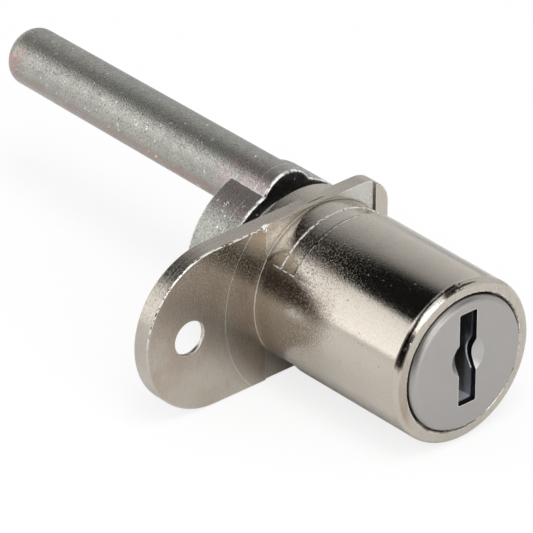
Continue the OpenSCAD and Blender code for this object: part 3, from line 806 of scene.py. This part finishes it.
ZINC, ZINC_LIGHT, ZINC_MOTTLED = (0.31, 0.305, 0.275), (0.47, 0.462, 0.42), (0.23, 0.23, 0.215)
SPECK, FILM_PINK, FILM_GREEN = (0.09, 0.09, 0.088), (0.48, 0.20, 0.215), (0.27, 0.35, 0.29)
CREASE_PINK, UNDER_RED, UNDERSIDE_SHADE = (0.50, 0.27, 0.33), (0.55, 0.16, 0.15), (0.24, 0.19, 0.16)
GAP_SHADE, RIGHT_SIDE_SHADE, TURNED_LINE = (0.012, 0.012, 0.014), (0.19, 0.19, 0.185), (0.8, 0.8, 0.78)
NICK, SCRATCH, ZINC_RUBBED_HIGHLIGHT = (0.85, 0.85, 0.82), (0.62, 0.62, 0.60), (0.92, 0.92, 0.90)
TURNED_LINE_Y = 7.3


def film_and_shade_zinc(s):
    """Pink and green films, strongest near the disc, in the crease, below and at the tip; and painted shade
    on the pin's underside.
    """
    y, z = s.at["Y"], s.at["Z"]
    film = s.blend(s.speckle(*TINT), rgb(*FILM_PINK), rgb(*FILM_GREEN))
    s.lay(film, s.times(s.speckle(*BLOOM), s.spread(s.step(y, 21.0, 9.0), 0.06, 0.24)))
    patches = s.speckle(*PATCHES)
    crease = s.times(s.step(y, 15.5, 11.5), s.step(z, 6.0, 8.0), s.ramp(s.lean["X"], 0.0, -0.4))
    s.lay(CREASE_PINK, s.times(crease, patches), 0.26)
    under = s.times(s.ramp(s.lean["Z"], 0.05, -0.4), s.ramp(s.lean["X"], -0.5, -0.75),
                    s.spread(s.step(y, 35.0, 15.0), 0.4, 1.0))
    tip = s.times(s.step(y, 45.5, 47.5), s.ramp(s.lean["X"], -0.2, -0.6), 0.8)
    s.lay(UNDER_RED, s.times(s.most(under, tip), patches), 0.42)
    # Painted shade on the underside of the pin.
    s.lay(UNDERSIDE_SHADE, s.times(s.ramp(s.lean["Z"], 0.1, -0.25), s.step(z, 3.0, 5.0)), 0.55)


def zinc_material():
    """Zinc plate over steel: fine grey grain, dark specks, a pink and green bloom, painted shade in the gap
    behind the boss and on the right-hand side, and rubbed edges with a painted highlight along the cam's
    front rim.
    """
    s = Surface("zinc_plate_finish", ZINC)
    y = s.at["Y"]
    crystal, specks, mottle = s.speckle(*CRYSTAL), s.speckle(*SPECKS), s.speckle(*MOTTLE)
    s.lay(ZINC_LIGHT, crystal)
    s.lay(ZINC_MOTTLED, mottle, 0.3)
    s.lay(SPECK, specks, 0.55)
    film_and_shade_zinc(s)
    # Painted shade on faces that look to the front, in the gap behind the boss.
    s.lay(GAP_SHADE, s.ramp(s.lean["Y"], -0.75, -0.95), 0.9)
    # Painted shade on the right-hand side.
    s.lay(RIGHT_SIDE_SHADE, s.ramp(s.lean["X"], -0.25, 0.3), 0.4)
    off_line = s.maths("ABSOLUTE", s.maths("SUBTRACT", y, TURNED_LINE_Y * MM))
    s.lay(TURNED_LINE, s.times(s.step(off_line, 0.06, 0.02), s.speckle(*LINE_BREAKUP)), 0.6)
    s.lay(NICK, s.speckle(*NICKS), 0.7)
    s.lay(SCRATCH, s.ramp(s.grain(*SCRATCHES), 0.66, 0.72), 0.35)
    breakup = s.speckle(*ZINC_BREAKUP)
    # A painted highlight along the cam's front rim, joined with its rubbed edges.
    rim_highlight = s.times(s.strip(y, 5.3, 5.5, 5.75, 5.9), s.ramp(s.lean["Y"], -0.97, -0.85), breakup)
    rubbed_and_highlit = s.most(s.edge_mask(0.3, 9.0, breakup), rim_highlight)
    s.lay(ZINC_RUBBED_HIGHLIGHT, rubbed_and_highlit)
    fine = s.emboss(crystal, 0.018, 0.8)
    s.emboss(s.less(specks), 0.02, 0.5, below=fine)
    return s.finish(0.18, 0.28, mottle, s.total(0.03, s.times(rubbed_and_highlit, 0.6)))


# The metals inside

INSIDE_SCALE, KEYWAY_LIGHT = 900.0, (0.80, 0.83, 0.86)


def plain_metal(name, base, shade, smoothest, roughest, scale=INSIDE_SCALE, keyway_light=0.0):
    """Mottled tone, fine grain and rubbed edges with a painted highlight. keyway_light paints light on
    the keyway's right wall and its upward-facing floor near its mouth, turning them pale and dull."""
    s = Surface(name, base)
    mottle = s.speckle(scale, 5.0, 0.35, 0.7)
    s.lay(shade, mottle, 0.6)
    # Rubbed edges, lighter than the base, with a painted highlight.
    s.lay(tuple(min(1.0, 1.5 * c) for c in base), s.edge_mask(0.1, 6.0, 0.8))
    lit_walls = None
    if keyway_light:
        # Painted light on the keyway's right wall near its mouth, and on its upward-facing floor.
        wall = s.times(s.ramp(s.lean["X"], -0.4, -0.8), s.step(s.at["Y"], -21.2, -21.7),
                       s.step(s.at["Z"], 3.6, 2.0), 0.3)
        bottom = s.times(s.ramp(s.lean["Z"], 0.4, 0.8), s.step(s.at["Y"], -15.0, -20.5), 0.6)
        lit_walls = s.times(s.total(wall, bottom), keyway_light)
        s.lay(KEYWAY_LIGHT, lit_walls)
    s.emboss(s.grain((1.0, 0.2, 1.0), scale * 4), 0.01, 0.4)
    return s.finish(smoothest, roughest, mottle, lit_walls)


casting = plain_metal("plug_casting_finish", (0.36, 0.38, 0.42), (0.20, 0.21, 0.24), 0.3, 0.5, keyway_light=0.8)
brass = plain_metal("wafer_brass_finish", (0.62, 0.44, 0.17), (0.42, 0.28, 0.10), 0.25, 0.42)
spring_wire = plain_metal("spring_wire_finish", (0.36, 0.36, 0.37), (0.2, 0.2, 0.21), 0.22, 0.38, 2500.0)
screw_plate = plain_metal("screw_plate_finish", (0.46, 0.46, 0.46), (0.30, 0.30, 0.31), 0.2, 0.36)

finish_piece(make_housing(), nickel_material(), "housing", "housing")
soften(finish_piece(make_face_cap(), satin_material(), "plug", "face_cap"), *CAP_FINE)
finish_piece(make_drive_cam(), zinc_material(), "plug", "drive_cam")
soften(finish_piece(make_cam_screw(), screw_plate, "plug", "cam_screw"), *SCREW_FINE)
soften(finish_piece(make_lock_washer(), spring_wire, "plug", "lock_washer"), *WASHER_FINE)

KEPT_FINISH = {"plug_alloy": casting, "wafer_brass": brass, "spring_steel": spring_wire}
for node, piece in frame["nodes"].items():
    finish = KEPT_FINISH.get(SLOT_OF[node])
    if finish:
        for slot in piece.material_slots:
            slot.material = finish


# Studio: a pale floor, and white surroundings that darken overhead

FLOOR_R, FLOOR_STEPS = 6.0, 96
FLOOR_PAINT, FLOOR_FAR_RIGHT, FLOOR_FAR_LEFT = (0.93, 0.93, 0.93), (0.66, 0.66, 0.65), (0.1, 0.1, 0.1)
# The floor's share of plain white that the camera sees
GLOW_SEEN = 0.8
# The room's darkest direction, and how bright it is by the cosine of the angle from there
CEILING_AXIS = (-0.2, 0.0, 0.98)
CEILING_STOPS = ((0.0, 0.88), (0.24, 0.80), (0.50, 0.64), (0.64, 0.46), (0.70, 0.27),
                 (0.755, 0.01), (1.0, 0.01))
CORNER_AXIS = (0.55, -0.45, 0.70)
WHITE, DOME_ON_FLOOR = (1, 1, 1), (0.62, 0.62, 0.62)
ROOM_LIT, ROOM_UNLIT = (0.9, 0.9, 0.9), (0.07, 0.065, 0.06)


def make_floor(height):
    """A wide white plate. The camera sees only a light shadow on it; metal sees it as it is
    lit, with painted shade: a little greyer far behind on the right and dark far off in front on the left."""
    material = bpy.data.materials.new("floor_paint")
    material.use_nodes = True
    board = Board(material.node_tree)
    paint = material.node_tree.nodes["Principled BSDF"]
    paint.inputs["Roughness"].default_value = 0.9
    paint.inputs["Specular IOR Level"].default_value = 0.0
    glow = board.add("ShaderNodeEmission", {"Color": rgb(*WHITE), "Strength": 1.0})
    path = board.add("ShaderNodeLightPath").outputs
    at = board.split(board.add("ShaderNodeTexCoord").outputs["Object"])
    glossy = path["Is Glossy Ray"]
    # Painted shade on the floor as metal sees it: greyer far behind on the right, dark far off in front on
    # the left.
    far_right = board.times(board.ramp(at["X"], 0.01, 0.05), board.ramp(at["Y"], 0.0, 0.03), glossy)
    far_left = board.times(board.ramp(at["X"], -0.06, -0.09), board.ramp(at["Y"], -0.05, -0.08), glossy)
    tone = board.blend(far_right, rgb(*FLOOR_PAINT), rgb(*FLOOR_FAR_RIGHT))
    board.feed(paint, "Base Color", board.blend(far_left, tone, rgb(*FLOOR_FAR_LEFT)))
    share = board.times(path["Is Camera Ray"], GLOW_SEEN)
    mixed = board.add("ShaderNodeMixShader", {0: share, 1: paint.outputs[0], 2: glow.outputs[0]})
    board.feed(material.node_tree.nodes["Material Output"], "Surface", mixed.outputs[0])

    bm = bmesh.new()
    bmesh.ops.create_circle(bm, cap_ends=True, segments=FLOOR_STEPS, radius=FLOOR_R)
    floor = solid("floor", bm)
    floor.data.materials.append(material)
    floor.location = (0, 0, height)


def make_world():
    """White for the camera. The floor gets less of it, beside the lamps, and metal sees the
    ceiling darken behind the lock and the unlit parts of the room in front and at its left."""
    world = bpy.data.worlds.new("studio")
    world.use_nodes = True
    bpy.context.scene.world = world
    board = Board(world.node_tree)
    direction = board.add("ShaderNodeTexCoord").outputs["Generated"]
    x, y, z = board.split(direction)
    path = board.add("ShaderNodeLightPath").outputs
    glossy = path["Is Glossy Ray"]

    ceiling = board.add("ShaderNodeValToRGB", {0: board.vector("DOT_PRODUCT", direction, CEILING_AXIS)})
    stops = ceiling.color_ramp.elements
    while len(stops) < len(CEILING_STOPS):
        stops.new(0.5)
    for stop, (cosine, level) in zip(stops, CEILING_STOPS):
        stop.position = cosine
        stop.color = rgb(level, level, level)

    low_front = board.times(board.ramp(y, -0.35, -0.5), board.ramp(z, 0.40, 0.30), board.ramp(x, -0.4, -0.52))
    left_wall = board.times(board.ramp(x, -0.38, -0.5), board.ramp(y, 0.5, 0.42), board.ramp(y, -0.62, -0.54),
                            board.ramp(z, 0.04, 0.12))
    corner = board.ramp(board.vector("DOT_PRODUCT", direction, CORNER_AXIS), 0.93, 0.965)
    unlit = board.times(board.most(low_front, left_wall, corner), glossy)
    behind = board.times(board.ramp(y, -0.1, 0.35), glossy)

    light = board.blend(glossy, rgb(*WHITE), rgb(*ROOM_LIT))
    light = board.blend(behind, light, ceiling.outputs[0])
    light = board.blend(unlit, light, rgb(*ROOM_UNLIT))
    light = board.blend(path["Is Diffuse Ray"], light, rgb(*DOME_ON_FLOOR))
    board.feed(world.node_tree.nodes["Background"], "Color", light)


def softbox(name, direction, distance, width, height, radiance, reflected=True):
    """A rectangular lamp aimed at the lock, of the given brightness."""
    lamp = bpy.data.lights.new(name, "AREA")
    lamp.shape = "RECTANGLE"
    lamp.size, lamp.size_y = width, height
    lamp.energy = radiance * math.pi * width * height
    obj = bpy.data.objects.new(name, lamp)
    towards = Vector(direction).normalized()
    obj.location = towards * distance
    obj.rotation_euler = towards.to_track_quat("Z", "Y").to_euler()
    obj.visible_glossy = reflected
    bpy.context.scene.collection.objects.link(obj)


make_floor(cad_box[0][2])
make_world()
softbox("left_softbox", (-0.68, 0.63, 0.36), 0.7, 0.5, 0.5, 1.0)
softbox("front_softbox", (-0.36, -0.62, 0.68), 0.6, 0.42, 0.34, 1.7)
softbox("front_strip", (0.04, -0.97, 0.18), 0.7, 0.4, 0.22, 2.2)
softbox("key_light", (-0.15, -0.30, 0.94), 0.6, 0.24, 0.24, 6.5, reflected=False)


# Camera: the photograph's viewing angle, from far away with a long lens

AIM = Vector((-7.819, 0.0, 4.677)) * MM
AZIMUTH, ELEVATION, ROLL = math.radians(-41.674), math.radians(30.528), math.radians(0.459)
DISTANCE, FOCAL_PIXELS, FRAME_PIXELS = 0.8, 7540.0, 533
SENSOR_WIDTH, CLIP_START = 36, 0.05


def make_camera():
    data = bpy.data.cameras.new("camera")
    data.sensor_width = SENSOR_WIDTH
    data.lens = FOCAL_PIXELS / FRAME_PIXELS * SENSOR_WIDTH
    data.clip_start = CLIP_START
    camera = bpy.data.objects.new("camera", data)
    bpy.context.scene.collection.objects.link(camera)
    back = Vector((math.sin(AZIMUTH) * math.cos(ELEVATION), -math.cos(AZIMUTH) * math.cos(ELEVATION),
                   math.sin(ELEVATION)))
    right = Vector((math.cos(AZIMUTH), math.sin(AZIMUTH), 0))
    level = Matrix((right, back.cross(right), back)).transposed()
    facing = (level @ Matrix.Rotation(ROLL, 3, "Z")).to_4x4()
    camera.matrix_world = Matrix.Translation(AIM + back * DISTANCE) @ facing
    bpy.context.scene.camera = camera
    bpy.context.scene.view_settings.view_transform = "Standard"


make_camera()
